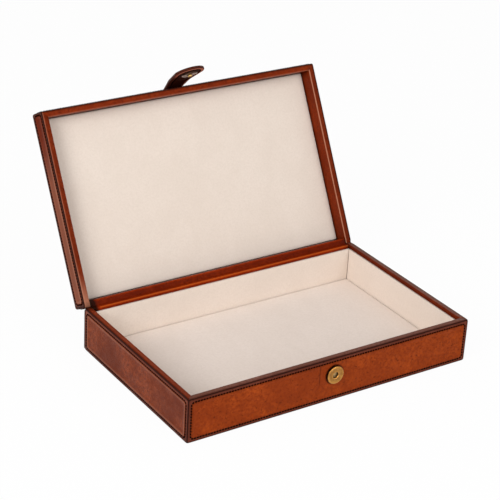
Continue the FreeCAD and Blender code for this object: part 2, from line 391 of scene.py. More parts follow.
# Grid lines: an even pitch, shares of the edge's round, and half grooves from the stitch row
PANEL_PITCH = 4.0 * MM
EDGE_LINES = (0.0, 0.2, 0.5, 1.0)
ROW_LINES = (-1, -0.5, 0, 0.5, 1, 1.5, 2.2, 3.2, 4.2, 5.0)

# A panel's leather, the painted highlight on its ridge and its border's burnish, each low and high, and its
# painted sheen towards the back. A border's burnish below 0 is a painted highlight.
Look = namedtuple("Look", "material ridge border wear", defaults=((0.0, 0.0), (0.0, 0.0), 0.0))
FRONT_LOOK = Look(PANEL, border=(0.25, 0.15))
SIDE_LOOKS = {
    "base": Look(SIDE_PANEL_SHADED, (0.45, 0.45), (0.6, -0.35)),
    "lid": Look(LID_SIDE_SHADED, (0.45, 0.0), (0.75, 0.5), 0.36),
}
# How a panel is made. Its painted seam shade darkens folded edges, and None means cut ones.
Sheet = namedtuple("Sheet", "look thickness row marks wave edge corner seam",
                   defaults=(None, (), PANEL_WAVE, LEATHER_EDGE, CORNER_ROUND, None))


class Face(namedtuple("Face", "corner along up rest width height")):
    """Where a panel lies, from its lower left corner as seen from outside."""

    def laid(self, u, v):
        """Place on the shut case."""
        return Vector(self.corner) + self.along * u + self.up * v

    def at(self, u, v, out):
        return self.rest @ (self.laid(u, v) + self.along.cross(self.up) * out)

    def edges(self, u, v):
        """Distances in from the nearer upright and level edges."""
        return min(u, self.width - u), min(v, self.height - v)

    def rounded(self, u, v, radius):
        """Moves a place so that the panel's square corners turn round."""
        du, dv = self.edges(u, v)
        if du >= radius or dv >= radius:
            return u, v
        a, b = 1 - du / radius, 1 - dv / radius
        pull = max(a, b) / max(hypot(a, b), 1e-9)
        new_u, new_v = radius * (1 - a * pull), radius * (1 - b * pull)
        u = new_u if u < self.width / 2 else self.width - new_u
        v = new_v if v < self.height / 2 else self.height - new_v
        return u, v


def side_lines(length, offsets):
    """Grid lines along one side: close at the edges, even between them."""
    offsets = [offset for offset in offsets if offset < length * 0.45]
    inner = length - 2 * offsets[-1]
    count = max(1, round(inner / PANEL_PITCH))
    middle = [offsets[-1] + inner * i / count for i in range(1, count)]
    return offsets + middle + [length - offset for offset in reversed(offsets)]


def grid_lines(face, sheet):
    """A panel's grid lines along and up its face, close at edges, stitches and marks."""
    near = [share * sheet.edge[0] for share in EDGE_LINES]
    if sheet.row:
        near += [sheet.row + GROOVE_HALF * k for k in ROW_LINES]
    us = side_lines(face.width, near)
    vs = side_lines(face.height, near)
    for mark in sheet.marks:
        us = sorted(us + mark.u_lines)
        vs = sorted(vs + mark.v_lines)
    return us, vs


def round_drop(distance, radius, drop):
    """How far a rounded edge falls away at a distance in."""
    if distance >= radius:
        return 0.0
    reach = 1 - distance / radius
    return drop * (1 - sqrt(max(0.0, 1 - reach * reach)))


def row_distance(du, dv, row):
    """Distance in from the edge, with the stitch row's corners round."""
    centre = row + ROW_CORNER
    if du >= centre or dv >= centre:
        return min(du, dv)
    return centre - hypot(centre - du, centre - dv)


def groove(distance, row):
    """Share of the stitch groove's depth."""
    away = abs(distance - row) / GROOVE_HALF
    return 0.5 + 0.5 * cos(pi * away) if away < 1 else 0.0


def puff(distance, row):
    """Share of the height of the ridge inside a stitch row."""
    inside = (distance - row - GROOVE_HALF) / PUFF_WIDTH
    return sin(pi * sqrt(inside)) if 0 < inside < 1 else 0.0


def row_burnish_and_shade(distance, row, border):
    """Burnish about a stitch row: the border's outside it, and a painted shade that fades inside it."""
    if distance < row - 0.6 * GROOVE_HALF:
        return border
    inside = max(0.0, distance - row - 0.4 * GROOVE_HALF) / ROW_FADE
    return max(0.42 * max(0.0, 1 - inside) ** 2, 0.4 * groove(distance, row))


def stitched_shade(shade, sheet, distance, rise, y):
    """Burnish of a stitched panel at a share of its height, from that of its bare edge, with the painted
    highlight on its ridge and its painted sheen towards the back.
    """
    look = sheet.look
    about = row_burnish_and_shade(distance, sheet.row, between(look.border, rise))
    shade = max(shade, about) if shade > 0 else about
    shade -= between(look.ridge, rise) * puff(distance, sheet.row)
    if distance > sheet.row:
        shade -= look.wear * smooth((y - FRONT_LOW.y) / SHEEN_REACH)
    return shade


def surface(face, sheet, u, v):
    """How far a panel's outer side falls back at a place, and its burnish and painted light and shade there.
    """
    du, dv = face.edges(u, v)
    rim = min(du, dv)
    place = face.laid(u, v)
    swell = noise.noise(place * WAVE_CELLS) + RIPPLE_SHARE * noise.noise(place * RIPPLE_CELLS)
    fall = round_drop(du, *sheet.edge) + round_drop(dv, *sheet.edge)
    fall -= sheet.wave * swell * min(1.0, rim / WAVE_REACH)
    if sheet.seam is None:
        shade = max(0.0, min(1.0, 1.7 - rim / BURNISHED_EDGE))
    else:
        shade = sheet.seam * max(0.0, 1 - rim / sheet.edge[0])
    if sheet.row:
        distance = row_distance(du, dv, sheet.row)
        fall += GROOVE_DEPTH * groove(distance, sheet.row) - PUFF_HEIGHT * puff(distance, sheet.row)
        shade = stitched_shade(shade, sheet, distance, v / face.height, place.y)
    for mark in sheet.marks:
        share = mark.share(u, v)
        fall += mark.depth * share
        shade = max(shade, mark.shade * share)
    return min(fall, sheet.thickness * 0.8), shade


def grid_border(columns, rows):
    """Points round the outside of a grid that is counted column by column."""
    last = (columns - 1) * rows
    low = [i * rows for i in range(columns)]
    high = [i * rows + rows - 1 for i in range(columns - 2, -1, -1)]
    return low + [last + j for j in range(1, rows)] + high + list(range(rows - 2, 0, -1))


def panel(name, face, sheet, mitre=(0, 0)):
    """Closed sheet on a face. Mitre sets its back in at the left and right, in thicknesses."""
    us, vs = grid_lines(face, sheet)
    columns, rows = len(us), len(vs)
    points, faces, burnish = [], [], []
    for u in us:
        for v in vs:
            fall, shade = surface(face, sheet, u, v)
            points.append(face.at(*face.rounded(u, v, sheet.corner), -fall))
            burnish.append(shade)
    for i in range(columns - 1):
        for here in range(i * rows, i * rows + rows - 1):
            faces.append((here, here + rows, here + rows + 1, here + 1))
    left, right = (sheet.thickness * share for share in mitre)
    border = grid_border(columns, rows)
    back = [len(points) + i for i in range(len(border))]
    for index in border:
        u, v = face.rounded(us[index // rows], vs[index % rows], sheet.corner)
        u = left + (face.width - left - right) * u / face.width
        points.append(face.at(u, v, -sheet.thickness))
        burnish.append(BACK_BURNISH if sheet.seam is None else sheet.seam)
    for i, index in enumerate(border):
        after = (i + 1) % len(border)
        faces.append((index, back[i], back[after], border[after]))
    faces.append(tuple(back))
    return new_piece(name, points, faces, sheet.look.material, burnish)


# A mark pressed into a panel: its share at a place, depth, darkening and grid lines
Mark = namedtuple("Mark", "share depth shade u_lines v_lines")
CREASE_HALF = 0.45 * MM
DENT_HALF = 0.6 * MM


def crease(middle, low, high):
    """Short upright line that fades in from its low end and out at its high end."""

    def share(u, v):
        fade = min(1.0, (v - low) / (6 * MM), (high - v) / (3 * MM))
        return max(0.0, fade) * exp(-((u - middle) / CREASE_HALF) ** 2)

    lines = [middle + CREASE_HALF * k for k in (-3.0, -1.5, -0.75, 0.0, 0.75, 1.5, 3.0)]
    return Mark(share, 0.15 * MM, 0.6, lines, [])


def dent(across, up, radius):
    """Dent round a metal cap, with a ring of painted shadow in it."""

    def share(u, v):
        return exp(-((hypot(u - across, v - up) - radius) / DENT_HALF) ** 2)

    reach = radius + 2 * DENT_HALF
    steps = round(2 * reach / DENT_HALF)
    lines = [2 * reach * i / steps - reach for i in range(steps + 1)]
    return Mark(share, 0.3 * MM, 0.9, [across + line for line in lines], [up + line for line in lines])


FRONT_MARKS = (crease(132.5 * MM, 15 * MM, 40 * MM), dent(HALF_WIDTH, SNAP_Z, SNAP_RADIUS + 0.2 * MM))

# Thread
STITCH_PITCH = 2.75 * MM
STITCH_LENGTH = 2.0 * MM
THREAD_RADIUS = 0.78 * MM
STITCH_ARCH = 0.4 * MM
STITCH_SINK = 0.3 * MM
STITCH_SLANT = radians(24)
SLANT_SPREAD = 0.05
THREAD_SIDES = 6
THREAD_RINGS = 6


def stitch_shape():
    """Points of one stitch: places along it, across it and above the leather."""
    shape = []
    for i in range(THREAD_RINGS):
        t = 2 * i / (THREAD_RINGS - 1) - 1
        height = STITCH_ARCH * (1 - t * t) - STITCH_SINK
        radius = THREAD_RADIUS * (1 - 0.3 * t * t)
        for k in range(THREAD_SIDES):
            turn = 2 * pi * k / THREAD_SIDES
            shape.append((t * STITCH_LENGTH / 2, radius * cos(turn), height + radius * sin(turn)))
    return shape


STITCH = stitch_shape()


def add_stitch(points, faces, place, along, out):
    """Adds one stitch to a mesh's lists."""
    across = out.cross(along)
    faces += tube(THREAD_RINGS, THREAD_SIDES, len(points))
    points += [place + along * a + across * b + out * c for a, b, c in STITCH]


def round_row(width, height, inset, radius):
    """Closed row round a panel: straight runs and round corners, as (length, start, heading, bend)."""
    runs = []
    near, u, v = inset + radius, width - inset, height - inset
    starts = [(near, inset), (u, near), (u - radius, v), (inset, v - radius)]
    lengths = [width - 2 * near, height - 2 * near] * 2
    for i, (start, length) in enumerate(zip(starts, lengths)):
        turn = i * pi / 2
        runs.append((length, start, turn, 0.0))
        end = (start[0] + round(cos(turn)) * length, start[1] + round(sin(turn)) * length)
        runs.append((radius * pi / 2, end, turn, 1 / radius))
    return runs


def along_row(runs, distance):
    """Place and heading at a distance along a row."""
    for length, (u, v), turn, bend in runs:
        if distance <= length:
            break
        distance -= length
    heading = turn + distance * bend
    if bend:
        u += (sin(heading) - sin(turn)) / bend
        v += (cos(turn) - cos(heading)) / bend
    else:
        u += cos(turn) * distance
        v += sin(turn) * distance
    return u, v, heading


def panel_stitches(name, face, row, body, seed):
    """Row of stitches in the groove round a panel."""
    chance = random.Random(seed)
    points, faces = [], []
    turned = face.rest.to_3x3()
    out = turned @ face.along.cross(face.up)
    runs = round_row(face.width, face.height, row, ROW_CORNER)
    total = sum(run[0] for run in runs)
    count = round(total / STITCH_PITCH)
    for k in range(count):
        u, v, heading = along_row(runs, total * (k + 0.5) / count)
        slant = heading + STITCH_SLANT + chance.uniform(-SLANT_SPREAD, SLANT_SPREAD)
        along = turned @ (face.along * cos(slant) + face.up * sin(slant))
        add_stitch(points, faces, face.at(u, v, -GROOVE_DEPTH * 0.6), along, out)
    finish(new_piece(name, points, faces, THREAD), body, "panel_leather")


def case_side(prefix, side, rest):
    """Outer face of a side, and its mitre: the front meets the left and right, which butt on the back."""
    heights = {
        "base": (0.0, BACK_HIGH.z if side == "back" else BASE_RIM - PANEL_STEP),
        "lid": (LID_BACK_LOW.z if side == "back" else LID_RIM + PANEL_STEP, LID_FRONT_HIGH.z),
    }
    low, high = heights[prefix]
    width = FRONT_HIGH.x - FRONT_LOW.x
    depth = BACK_HIGH.y - FRONT_LOW.y - LEATHER
    layouts = {
        "front": ((FRONT_LOW.x, FRONT_LOW.y, low), X, width, (1, 1)),
        "right": ((FRONT_HIGH.x, FRONT_LOW.y, low), Y, depth, (1, 0)),
        "back": ((FRONT_HIGH.x, BACK_HIGH.y, low), -X, width, (0, 0)),
        "left": ((FRONT_LOW.x, BACK_HIGH.y - LEATHER, low), -Y, depth, (0, 1)),
    }
    corner, along, length, mitre = layouts[side]
    return Face(corner, along, Z, rest, length, high - low), mitre


def dull_border(piece, face, row):
    """Gives the border outside the stitches a second, greyer leather."""
    piece.data.materials.append(BORDER)
    back = face.rest.inverted()
    for polygon in piece.data.polygons:
        spot = back @ polygon.center - Vector(face.corner)
        distance = row_distance(*face.edges(spot.dot(face.along), spot.dot(face.up)), row)
        polygon.material_index = int(distance < row - 0.5 * GROOVE_HALF)


def stitched_panel(name, face, sheet, mitre, body, seed):
    """Panel with its border and its stitches."""
    made = panel(name + "_panel", face, sheet, mitre)
    dull_border(made, face, sheet.row)
    finish(made, body, "panel_leather", name + "_leather")
    panel_stitches(name + "_stitches", face, sheet.row, body, seed)


def outer_leather():
    """Leather panels round the base and lid, on the top and underneath."""
    sides = ("front", "back", "left", "right")
    for prefix, rest, row in (("base", BASE_REST, BASE_ROW), ("lid", LID_REST, LID_ROW)):
        for seed, side in enumerate(sides):
            face, mitre = case_side(prefix, side, rest)
            name = prefix + "_" + side
            look = SIDE_LOOKS[prefix] if side in ("left", "right") else FRONT_LOOK
            marks = FRONT_MARKS if name == "base_front" else ()
            stitched_panel(name, face, Sheet(look, LEATHER, row, marks), mitre, prefix, seed)
    width = LID_TOP_HIGH.x - LID_TOP_LOW.x
    depth = LID_TOP_HIGH.y - LID_TOP_LOW.y
    top = Face((LID_TOP_LOW.x, LID_TOP_LOW.y, LID_TOP_HIGH.z), X, Y, LID_REST, width, depth)
    stitched_panel("lid_top", top, Sheet(FRONT_LOOK, LEATHER, BASE_ROW), (0, 0), "lid", 9)
    low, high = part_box("base_bottom_leather")
    under = Face((low.x, high.y, low.z), X, -Y, BASE_REST, high.x - low.x, high.y - low.y)
    sheet = Sheet(Look(BOTTOM), high.z - low.z, wave=0.0, edge=BOTTOM_EDGE)
    finish(panel("base_bottom_panel", under, sheet), "base", "bottom_leather", "base_bottom_leather")


outer_leather()

# Rims: bindings turned over the walls, in places in from the outer face and above the rim
RIM_INSET = 0.8 * MM
RIM_STEP = 0.5 * MM
BINDING = 0.8 * MM
BINDING_DEPTH = 8 * MM
LENGTH_PITCH = 6.0 * MM
RIM_WOBBLE = 0.05 * MM
WOBBLE_CELLS = 60
# Burnish of a binding's outer edge, top, inner edge and inner wall, which on the inner walls is partly
# painted shade; below 0 it is a painted highlight, as on the lid's right inner edge and left outer edge
RIM_SHADES = {
    "base_front": (0.45, 0.0, 0.0, 0.4),
    "base_left": (0.6, -0.13, -0.3, 0.3),
    "base_right": (0.4, 0.0, 0.3, 0.4),
    "lid_front": (0.5, 0.0, -0.4, 0.1),
    "lid_left": (-0.4, 0.2, 0.1, 0.2),
    "lid_right": (0.6, 0.2, -0.8, 0.05),
}
# Burnish at a strip's two ends, and how far it reaches: painted shade at the hinge end of the base's left
# binding, and painted reflection towards the hinge end of the lid's. A side's binding starts in front.
NO_TIP = (0.0, 0.0)
NO_TIPS = (NO_TIP, NO_TIP)
RIM_TIPS = {
    "base_left": (NO_TIP, (0.9, 12 * MM)),
    "lid_left": (NO_TIP, (-0.75, 45 * MM)),
}
# Share of the rim's width, from outside, whose faces that look up get a painted reflection
REFLECTION_TOPS = {"base_front": 1.0, "base_right": 0.8}
TOP_SLOPE = 0.7


def rim_profile(depth, shades):
    """Section of a binding with round edges, as (inset, height above the rim, burnish and painted light)."""
    outer, top, edge, wall = shades
    near, far = RIM_INSET, LINING_INSET
    return [
        (near, -RIM_STEP, 0.9), (near, -0.3 * MM, outer), (near + 0.2 * MM, -0.08 * MM, outer),
        (near + 0.7 * MM, 0.02 * MM, outer), (near + 1.5 * MM, 0.05 * MM, top), (far * 0.55, 0.06 * MM, top),
        (far - 1.1 * MM, 0.0, top), (far - 0.5 * MM, -0.05 * MM, edge), (far - 0.2 * MM, -0.22 * MM, edge),
        (far, -0.6 * MM, edge), (far, -1.1 * MM, wall), (far, -0.7 * depth, wall), (far, -depth, 0.5),
        (far - BINDING, -depth, 0.5), (far - BINDING, -BINDING, 0.5), (2 * near, -BINDING, 0.8),
        (2 * near, -RIM_STEP, 0.9),
    ]


def tip_shade(shade, start, end, tips):
    """Burnish of a strip's point at its distances from the strip's two ends."""
    for distance, (tip, reach) in zip((start, end), tips):
        if distance < reach:
            shade += (tip - shade) * (1 - distance / reach)
    return shade


def swept_strip(name, section, place, length, material, wobble, tips):
    """Closed section carried along a length. place(share, a, b) gives a section's point in the row frame."""
    steps = max(2, round(length / LENGTH_PITCH))
    points, burnish = [], []
    for i in range(steps + 1):
        share = i / steps
        for a, b, shade in section:
            near = place(share, a, b)
            shake = [noise.noise(near * WOBBLE_CELLS + Z * k) for k in range(3)]
            points.append(near + wobble * Vector(shake))
            burnish.append(tip_shade(shade, share * length, (1 - share) * length, tips))
    return new_piece(name, points, tube(steps + 1, len(section)), material, burnish)


def rim_place(side, level, sign, rest):
    """Call that places a binding's point at a share of its length."""

    def place(share, inset, height):
        x = HALF_WIDTH - inset
        y = BACK_HIGH.y - inset
        back = y if height < -BINDING else HINGE.y
        spots = {
            "front": (x * (2 * share - 1), -y),
            "left": (-x, (y + back) * share - y),
            "right": (x, back - (y + back) * share),
        }
        return rest @ Vector((*spots[side], level + sign * height))

    return place


def paint_top_reflection(piece, reach):
    """Gives the faces that look up, as far in as a reach, a greyer leather that paints the room's reflection
    on them.
    """
    piece.data.materials.append(RIM_TOP_REFLECTION)
    for face in piece.data.polygons:
        inset = min(HALF_WIDTH - abs(face.center.x), face.center.y - FRONT_LOW.y)
        face.material_index = int(face.normal.z > TOP_SLOPE and inset < reach)


def rims():
    """Bindings on the front, left and right walls, mitred in front."""
    lid_depth = shut_box("lid_top_board")[0].z - LID_RIM
    bodies = (("base", BASE_RIM, 1, BASE_REST, BINDING_DEPTH), ("lid", LID_RIM, -1, LID_REST, lid_depth))
    for prefix, level, sign, rest, depth in bodies:
        for side in ("front", "left", "right"):
            name = prefix + "_" + side
            section = rim_profile(depth, RIM_SHADES[name])
            place = rim_place(side, level, sign, rest)
            length = 2 * (HALF_WIDTH if side == "front" else BACK_HIGH.y)
            tips = RIM_TIPS.get(name, NO_TIPS)
            made = swept_strip(name + "_binding", section, place, length, RIM, RIM_WOBBLE, tips)
            if name in REFLECTION_TOPS:
                paint_top_reflection(made, REFLECTION_TOPS[name] * LINING_INSET)
            finish(made, prefix, "rim_leather", name + "_rim")


rims()

# Hinge: a leather strip over both back rims, with a thin backing behind its ends, painted black as shade
FOLD_RADIUS = HINGE.z - BASE_RIM
# Painted shade in the hollow of the fold
FOLD_SHADE = 0.35
FOLD_STEPS = 6
EDGE_BEND = 0.9 * MM
LEAST_BEND = 0.05 * MM
EDGE_STEPS = 4
HINGE_TOP = shut_box("hinge_lid_leaf")[1].z
HINGE_WOBBLE = 0.02 * MM
# Painted shade at the hinge's left end, and how far it reaches
HINGE_TIPS = ((1.6, 6 * MM), NO_TIP)
BACKING = 0.35 * MM
BACKING_GAP = 0.05 * MM
BACKING_END = 0.6 * MM

# Burnish down a wall by its level, over the wall's edge, and along its rim by the distance from the wall.
# Below 0, on the round edges, it is a painted highlight.
Shelf = namedtuple("Shelf", "wall edge rim")
BASE_SHELF = Shelf(
    ((BASE_RIM - BINDING_DEPTH, 0.3), (BASE_RIM - 2 * MM, 0.1)), (-0.2, -0.55),
    ((1.6 * MM, -0.2), (2.6 * MM, 0.0), (3.6 * MM, 0.25)))
LID_SHELF = Shelf(
    ((HINGE_TOP, 0.6), (LID_RIM + 4 * MM, 0.4)), (-0.15, -0.15),
    ((1.5 * MM, 0.25), (2.4 * MM, 0.4), (3.6 * MM, 0.4)))


def shelf_line(shelf, offset, level, sign):
    """Half of the strip's section on the shut case, from deep in a wall to its rim."""
    inside = BACK_HIGH.y - LINING_INSET + offset
    bend = max(LEAST_BEND, EDGE_BEND - offset)
    line = [(inside, z, dark) for z, dark in shelf.wall]
    for i in range(EDGE_STEPS + 1):
        angle = pi / 2 * i / EDGE_STEPS
        y = inside + bend * (1 - cos(angle))
        z = level - sign * bend * (1 - sin(angle))
        line.append((y, z, between(shelf.edge, i / EDGE_STEPS)))
    return line + [(inside + reach, level, dark) for reach, dark in shelf.rim]


def hinge_line(offset):
    """Strip's section as (y, z, burnish and painted light), an offset behind its visible face."""
    line = shelf_line(BASE_SHELF, offset, BASE_RIM - offset, 1)
    radius = FOLD_RADIUS + offset
    for i in range(FOLD_STEPS + 1):
        angle = radians(-90 + (180 - LID_ANGLE) * i / FOLD_STEPS)
        line.append((HINGE.y + radius * cos(angle), HINGE.z + radius * sin(angle), FOLD_SHADE))
    for y, z, dark in reversed(shelf_line(LID_SHELF, offset, LID_RIM + offset, -1)):
        spot = LID_REST @ Vector((0, y, z))
        line.append((spot.y, spot.z, dark))
    return line


def hinge_layer(name, half, front, thickness, burnish=None):
    """One layer of the hinge along the back rims, bent between the base and the lid."""
    section = hinge_line(front) + hinge_line(front + thickness)[::-1]
    if burnish is not None:
        section = [(y, z, burnish) for y, z, _ in section]

    def place(share, y, z):
        return Vector((half * (2 * share - 1), y, z))

    made = swept_strip(name, section, place, 2 * half, HINGE_LEATHER, HINGE_WOBBLE, HINGE_TIPS)
    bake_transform(made)
    return made


def hinge():
    """The hinge strip, and a backing that closes the gap at its two ends, painted black as shade."""
    strip = hinge_layer("hinge_strip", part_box("hinge_base_leaf")[1].x, 0.0, BINDING)
    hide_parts("hinge_base_leaf", "hinge_lid_leaf", "hinge_fold")
    hinge_layer("hinge_backing", HALF_WIDTH - BACKING_END, BINDING + BACKING_GAP, BACKING, burnish=1.0)


hinge()

# Suede lining
SUEDE_WAVE = 0.2 * MM
WALL_CUT = {"wave": SUEDE_WAVE, "edge": (0.6 * MM, 0.3 * MM), "corner": 0.4 * MM}
PAD_CUT = {"wave": SUEDE_WAVE, "edge": (1.3 * MM, 0.8 * MM), "corner": 1.0 * MM}
FLOOR_GAP = 0.3 * MM
LID_GAP = 0.25 * MM
# How much of the lining's top the bindings and the hinge leather cover
BOUND_DROP = 1.0 * MM
HINGE_DROP = 0.65 * MM


def wall_lining(x, y):
    """Suede-covered cards on the base's walls, whose faces lie at x and y from the middle."""
    low, high = LINING_LOW.z, LINING_HIGH.z
    sheet = Sheet(Look(SUEDE), LINING_HIGH.y - LINING_LOW.y, seam=0.15, **WALL_CUT)
    layouts = {
        "front": ((x, -y, low), -X, 2 * x),
        "back": ((-x, y, low), X, 2 * x),
        "left": ((-x, -y, low), Y, 2 * y),
        "right": ((x, y, low), -Y, 2 * y),
    }
    for side, (corner, along, length) in layouts.items():
        height = high - low - (HINGE_DROP if side == "back" else BOUND_DROP)
        name = "lining_" + side
        made = panel(name, Face(corner, along, Z, BASE_REST, length, height), sheet, (-1, -1))
        finish(made, "base", "suede", name + "_suede", name + "_card")


def lining():
    """Suede-covered cards on the base's walls and floor and under the lid's top."""
    floor_low, floor_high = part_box("lining_floor_suede")
    wall_lining(floor_high.x, floor_high.y)
    x, y = floor_high.x - FLOOR_GAP, floor_high.y - FLOOR_GAP
    face = Face((-x, -y, floor_high.z), X, Y, BASE_REST, 2 * x, 2 * y)
    sheet = Sheet(Look(FLOOR_SUEDE_LIT), floor_high.z - floor_low.z, seam=0.6, **PAD_CUT)
    finish(panel("lining_floor", face, sheet), "base", "suede", "lining_floor_suede")
    low = shut_box("lid_lining_suede")[0].z
    high = shut_box("lid_lining_card")[1].z
    x = HALF_WIDTH - LINING_INSET - LID_GAP
    y = BACK_HIGH.y - LINING_INSET - LID_GAP
    face = Face((-x, y, low), X, -Y, LID_REST, 2 * x, 2 * y)
    made = panel("lid_lining", face, Sheet(Look(LID_SUEDE_SHADED), high - low, seam=0.25, **PAD_CUT))
    finish(made, "lid", "suede", "lid_lining_suede", "lid_lining_card")


lining()

# Magnetic snap, turned on the axis of its socket. Sections are (radius, distance out, burnish) in mm.
SNAP_FACE = (SNAP_HIGH.y - SNAP_LOW.y) / MM
SNAP_RIM = SNAP_RADIUS / MM
PLATE_RIM = SNAP_RIM - 0.6
LIP = 0.45
LATHE_STEPS = 72
# Painted shadow towards a piece's foot, in mm: where it starts, how far it takes to deepen, and its tilt
SHADOW_START = 1.4
SHADOW_FADE = 2.5
SHADOW_TILT = 0.3


def lathe(name, section, rest, material, tarnish_and_painted_shadow=0.0):
    """Closed turned piece on the snap's axis, with painted shadow towards its foot."""
    points, burnish = [], []
    for i in range(LATHE_STEPS):
        angle = 2 * pi * i / LATHE_STEPS
        for radius, out, shade in section:
            side, rise = radius * cos(angle), radius * sin(angle)
            points.append(rest @ Vector((side * MM, FRONT_LOW.y - out * MM, SNAP_Z + rise * MM)))
            foot = smooth((-SHADOW_TILT * side - rise - SHADOW_START) / SHADOW_FADE)
            burnish.append(max(shade, tarnish_and_painted_shadow * foot))
    faces = bands([*range(LATHE_STEPS), 0], len(section))
    return new_piece(name, points, faces, material, burnish)


def snap_hole():
    """Radius of the hole in the socket's cap, in mm."""
    spots = [vertex.co for vertex in nodes["snap_socket_cap"].data.vertices]
    return min(hypot(spot.x, spot.z - SNAP_Z) for spot in spots) / MM


def snap_socket():
    """Brass socket on the base's front."""
    hole, rim, top = snap_hole() - LIP, SNAP_RIM, SNAP_FACE
    section = [
        (hole, 0.5, 1.0), (hole, top - 0.8, 1.0), (hole + 0.05, top - 0.7, 0.0),
        (hole + 0.4, top - 0.25, 0.0), (hole + 0.7, top - 0.1, 0.0), (hole + 0.95, top - 0.14, 0.1),
        (hole + 1.3, top - 0.32, 0.35), (rim - 2.3, top - 0.34, 0.25), (rim - 1.8, top - 0.2, 0.3),
        (rim - 1.2, top, 0.0), (rim - 0.5, top - 0.12, 0.0), (rim - 0.15, top - 0.45, 0.3),
        (rim, top - 0.7, 1.0), (rim, 0.0, 1.0),
    ]
    finish(lathe("snap_socket", section, BASE_REST, BRASS), "base", "snap_brass", "snap_socket_cap")


def snap_stud():
    """The stud's plate and post on the tab."""
    rim = PLATE_RIM
    plate = [
        (1.7, 4.0, 0.5), (rim, 4.0, 1.0), (rim, 3.4, 0.8), (rim - 0.3, 3.0, 0.1), (rim - 1.0, 2.8, 0.0),
        (rim - 2.4, 2.95, 0.35), (4.2, 2.95, 0.1), (3.0, 2.85, 0.5), (1.7, 2.85, 1.0),
    ]
    made = lathe("snap_plate", plate, TAB_REST, STEEL, tarnish_and_painted_shadow=1.0)
    finish(made, "tab", "stud_plate", "snap_stud_plate")
    post = [
        (0.02, 1.0, 0.0), (1.3, 1.03, 0.0), (1.9, 1.25, 0.0), (2.15, 1.6, 0.1), (2.2, 2.5, 0.4),
        (2.0, 2.84, 0.8), (1.6, 2.9, 0.8), (1.6, 4.0, 0.9), (0.02, 4.0, 0.9),
    ]
    finish(lathe("snap_post", post, TAB_REST, STUD_BRASS), "tab", "stud_brass", "snap_stud_post")


snap_socket()
snap_stud()

# Closing tab: two leathers on one route over the lid's front edge, sewn round their outline.
# Their cut edges stand a little proud of the solids.
TAB_SPREAD = 0.8 * MM
TAB_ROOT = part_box("tab_outer_anchor")[1].x + TAB_SPREAD
TAB_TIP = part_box("tab_outer_leather")[1].x + TAB_SPREAD
TAB_LEATHER = 1.4 * MM
TAB_INNER = LID_TOP_HIGH.z - TAB_AXIS.z
TAB_SEAM = TAB_INNER + TAB_LEATHER
TAB_OUTER = TAB_SEAM + TAB_LEATHER
TAB_BEND = radians(90 - TAB_LIFT)
TAB_ARC = TAB_SEAM * TAB_BEND
TAB_ANCHOR = shut_box("tab_outer_anchor")[1].y - TAB_AXIS.y
TAB_DROP = TAB_AXIS.z - SNAP_Z
TAB_EDGE = (1.1 * MM, 0.6 * MM)
TAB_STITCH = 3.9 * MM
TAB_GROOVE = 0.2 * MM
TAB_GROOVE_HALF = 0.6 * MM
# Its tighter bend, most at the peak and none at the end
TAB_DIP = 2.1 * MM
DIP_PEAK = 5.2 * MM
DIP_END = 22 * MM
# Points along its sewn-on end, bend and blade, round its ends, and in to its spine
SIDE_STEPS = (10, 10, 18)
END_STEPS = 16
TAB_DEPTHS = [0.0, 0.2 * MM, 0.5 * MM, 1.1 * MM, 1.8 * MM]
TAB_DEPTHS += [TAB_STITCH + TAB_GROOVE_HALF * k for k in (-1, 0, 1)]
TAB_DEPTHS += [5.8 * MM, 7.5 * MM, inf]
# Burnish of its outer face and hidden side, and painted shade on its lining about the stud and at its root,
# which on the left border reaches further down
TAB_BURNISH = 0.15
HIDDEN_BURNISH = 0.55
STUD_SHADE = 0.95
LEFT_ROOT_SHADE = 40 * MM
RIGHT_ROOT_SHADE = 8 * MM


def tab_dip(s):
    """How much tighter the tab bends than its axis asks."""
    return TAB_DIP * min(smooth(s / DIP_PEAK), smooth((DIP_END - s) / (DIP_END - DIP_PEAK)))


def tab_point(s, x, radius):
    """Point of the tab at rest: s along its route from the lid's edge, at a radius from its axis."""
    if s <= 0:
        return LID_REST @ Vector((x, TAB_AXIS.y - s, TAB_AXIS.z + radius))
    angle = min(s / TAB_ARC, 1.0) * TAB_BEND
    run = max(0.0, s - TAB_ARC)
    radius -= tab_dip(s)
    y = TAB_AXIS.y - radius * sin(angle) - run * cos(angle)
    z = TAB_AXIS.z + radius * cos(angle) - run * sin(angle)
    return LID_REST @ Vector((x, y, z))


def tab_outline():
    """Spine place, outward direction and half width round the tab: down its right side and back up."""
    round_start, round_end = TAB_ROOT - TAB_ANCHOR, TAB_ARC + TAB_DROP
    stops = [round_start, 0.0, TAB_ARC, round_end]
    spine = []
    for start, end, count in zip(stops, stops[1:], SIDE_STEPS):
        spine += [start + (end - start) * i / count for i in range(count)]
    right = []
    for s in spine + [round_end]:
        share = max(0.0, min(1.0, (s - TAB_ARC) / TAB_DROP))
        right.append((s, 1.0, 0.0, between((TAB_ROOT, TAB_TIP), share)))
    left = [(s, -1.0, 0.0, width) for s, _, _, width in reversed(right)]
    turns = [pi * i / END_STEPS for i in range(1, END_STEPS)]
    tip = [(round_end, cos(turn), sin(turn), TAB_TIP) for turn in turns]
    root = [(round_start, -cos(turn), -sin(turn), TAB_ROOT) for turn in turns]
    return right + tip + left + root


def tab_spots(depth):
    """Places along and across the tab, a depth in from its outline, with their inset and side."""
    spots = []
    for s, side, ahead, width in tab_outline():
        inset = min(depth, width)
        reach = width - inset
        spots.append((s + ahead * reach, side * reach, inset, side))
    return spots


